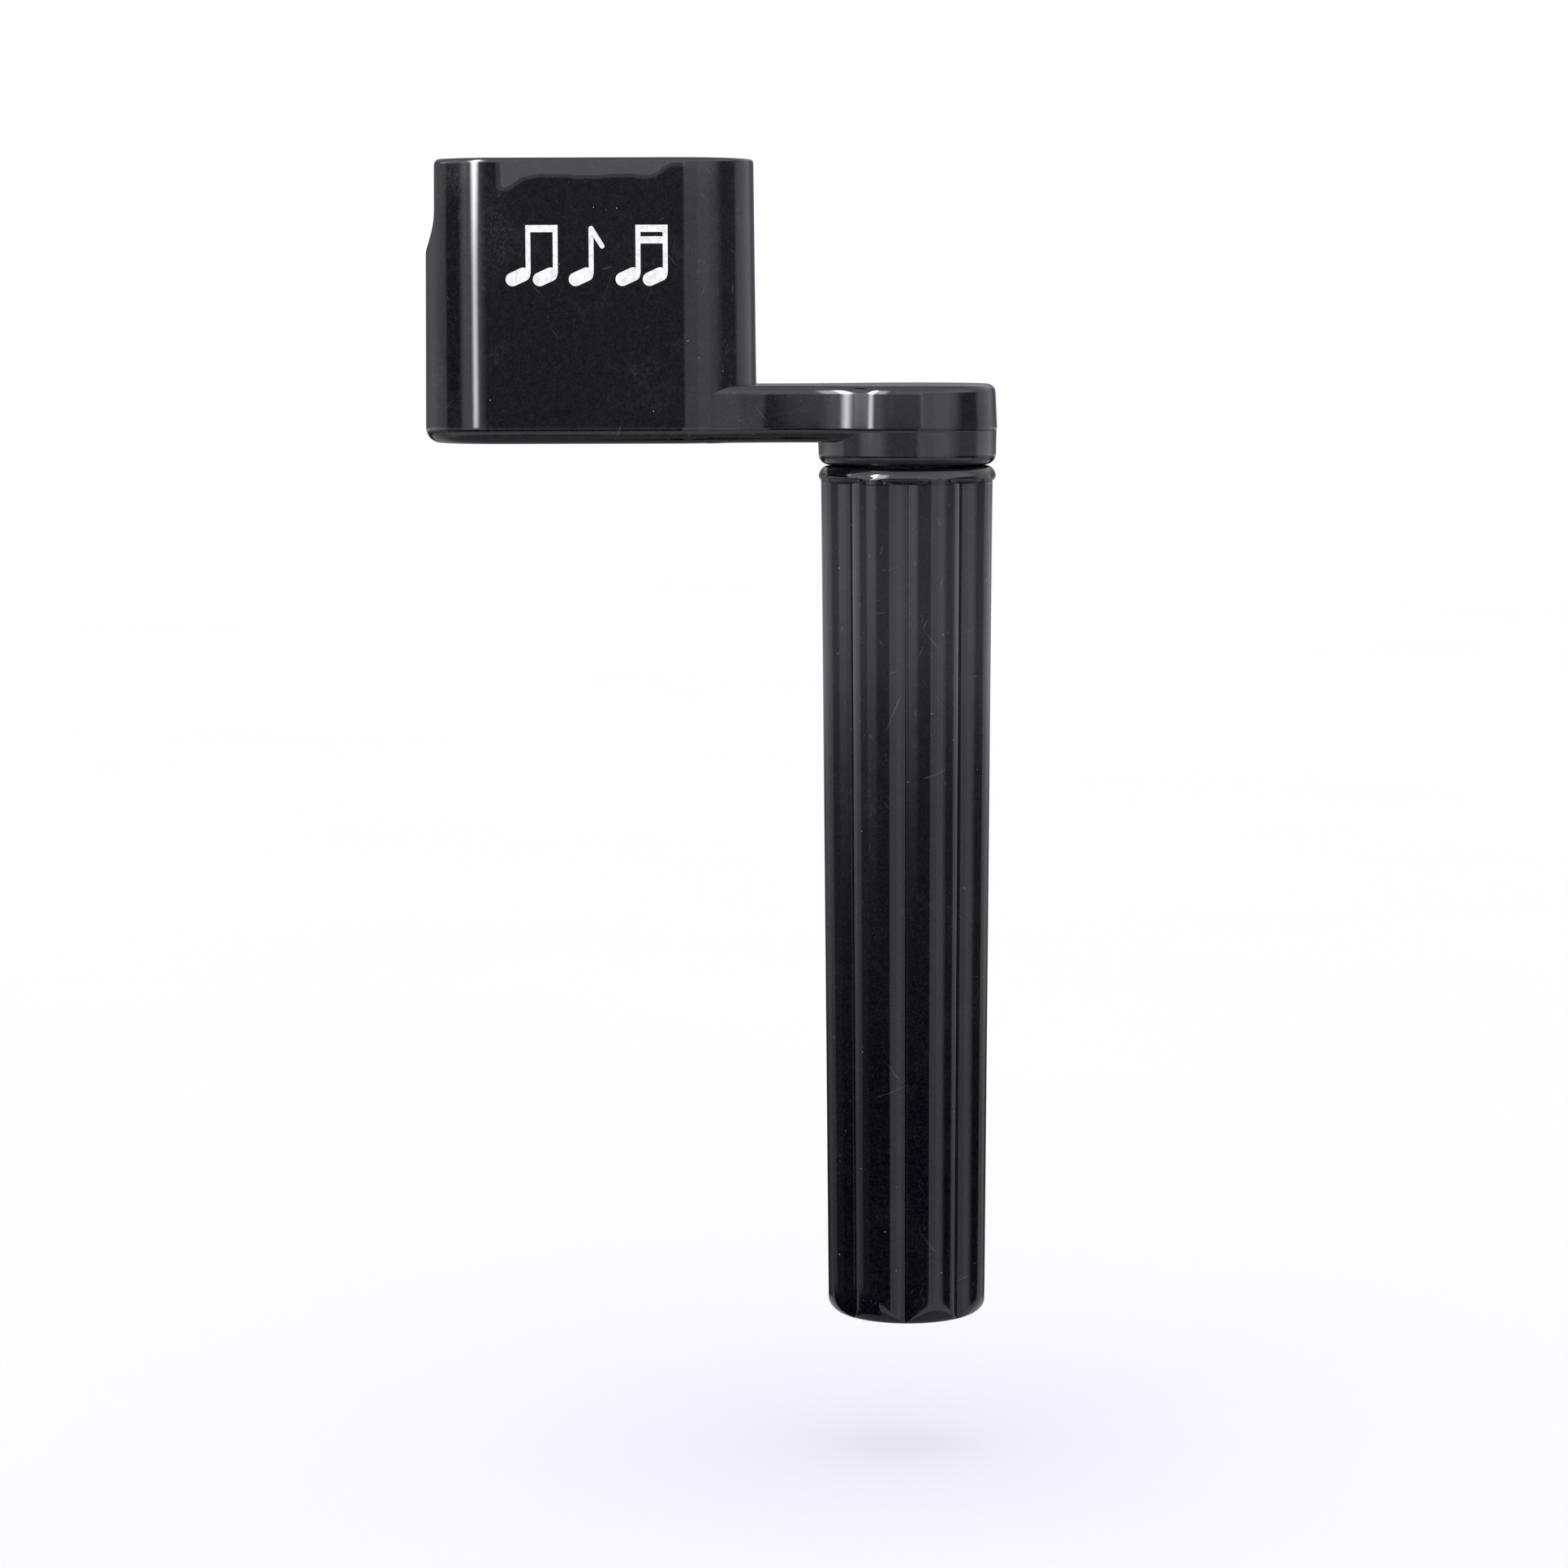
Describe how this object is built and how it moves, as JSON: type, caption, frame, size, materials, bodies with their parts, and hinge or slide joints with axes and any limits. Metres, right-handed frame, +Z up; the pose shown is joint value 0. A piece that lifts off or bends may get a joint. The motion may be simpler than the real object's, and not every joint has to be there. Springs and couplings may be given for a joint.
{
  "type": "guitar string winder",
  "caption": "Crank with an open-topped peg socket, a bridge-pin notch and a round hub that spins freely on a fluted, tapering handle.",
  "frame": {"origin": "on the handle's axis, at the flat end of the plug that closes the handle's lower end, flush with the grip", "axes": "+Z up along the handle's axis towards the hub and the socket's open rim, -X from the handle's axis towards the socket head, +Y away from the printed side of the head"},
  "size_m": [0.0599, 0.0188, 0.1225],
  "materials": {
    "gloss_black": "polished moulded black ABS with light handling scratches",
    "grip_black": "polished moulded black ABS",
    "steel": "bright turned steel",
    "bearing_plastic": "natural acetal",
    "white_ink": "pad-printed white ink"
  },
  "bodies": {
    "handle": {"grip": "grip_black", "upper_bush": "bearing_plastic", "lower_bush": "bearing_plastic", "end_plug": "grip_black"},
    "crank": {"crank_body": "gloss_black", "spindle": "steel", "thrust_washer": "bearing_plastic", "retaining_washer": "steel", "retaining_screw": "steel", "printed_mark": "white_ink"}
  },
  "joints": [
    {"name": "crank_spin", "type": "hinge", "parent": "handle", "child": "crank", "pos_m": [0, 0, 0.0905], "axis": [0, 0, 1], "continuous": true}
  ]
}
